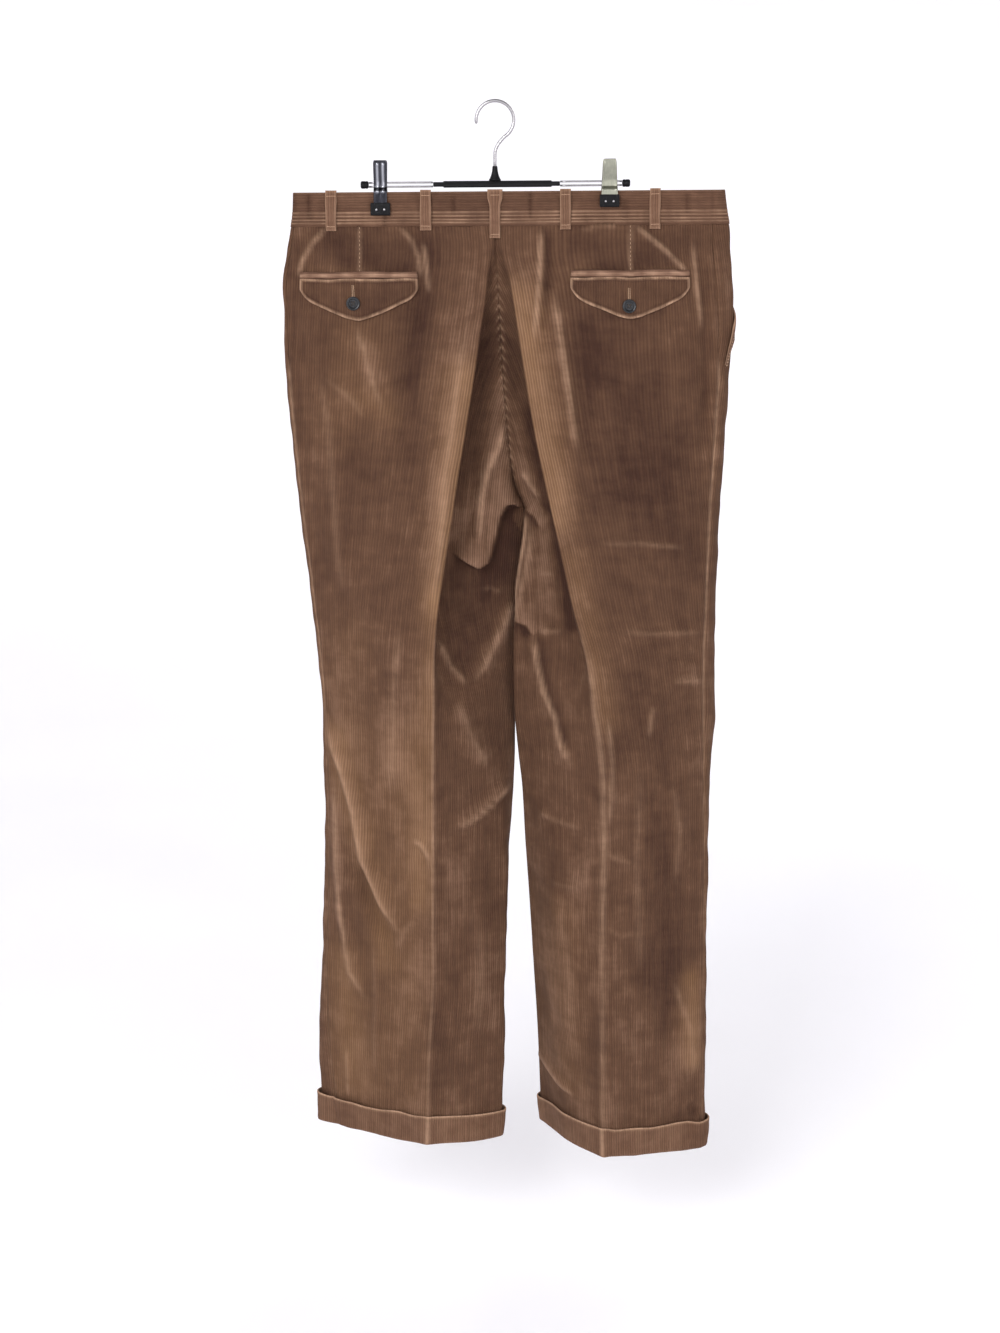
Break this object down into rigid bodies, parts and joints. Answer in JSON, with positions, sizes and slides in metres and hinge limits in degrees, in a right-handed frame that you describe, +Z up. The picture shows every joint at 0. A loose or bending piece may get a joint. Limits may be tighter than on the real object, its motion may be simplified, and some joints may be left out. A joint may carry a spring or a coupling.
{
  "type": "corduroy trousers on a clip hanger",
  "caption": "Brown wide-wale corduroy trousers with turn-ups, flapped back pockets and belt loops, hung by the waistband from a slim wire hanger with clips.",
  "frame": {"origin": "inner top of the hanger's hook, where it rests on a rail", "axes": "+Z up; the seat (back) of the trousers faces -Y; +X towards the wearer's right, along the hanger's bar"},
  "size_m": [0.489, 0.1332, 1.1732],
  "materials": {
    "corduroy": "cotton corduroy, cut pile, mid brown",
    "band_corduroy": "cotton corduroy, cut pile, rubbed lighter",
    "trim_corduroy": "cotton corduroy, cut pile, light at the folds",
    "button": "moulded dark four-hole button",
    "bright_wire": "bright plated steel wire",
    "black_plastic": "moulded black plastic",
    "dark_clip": "dark plated pressed steel",
    "satin_clip": "satin pressed steel"
  },
  "bodies": {
    "root": {"back_left": "corduroy", "back_right": "corduroy", "button_left": "button", "button_right": "button", "cap_left": "black_plastic", "cap_right": "black_plastic", "clip_left_back": "dark_clip", "clip_left_front": "dark_clip", "clip_right_back": "satin_clip", "clip_right_front": "satin_clip", "flap_left": "corduroy", "flap_right": "corduroy", "fly": "corduroy", "front_left": "corduroy", "front_right": "corduroy", "hook": "bright_wire", "hook_collar": "black_plastic", "jaw_left_back": "black_plastic", "jaw_left_front": "black_plastic", "jaw_right_back": "black_plastic", "jaw_right_front": "black_plastic", "jet_left": "trim_corduroy", "jet_right": "trim_corduroy", "loop_back_1": "trim_corduroy", "loop_back_2": "trim_corduroy", "loop_back_3": "trim_corduroy", "loop_back_4": "trim_corduroy", "loop_back_5": "trim_corduroy", "loop_front_1": "trim_corduroy", "loop_front_2": "trim_corduroy", "pocket_edge_left": "trim_corduroy", "pocket_edge_right": "trim_corduroy", "sleeve": "black_plastic", "turnup_left": "band_corduroy", "turnup_right": "band_corduroy", "waistband_left": "band_corduroy", "waistband_right": "band_corduroy", "wire_1": "bright_wire", "wire_2": "bright_wire", "wire_3": "bright_wire", "wire_4": "bright_wire"}
  },
  "joints": []
}
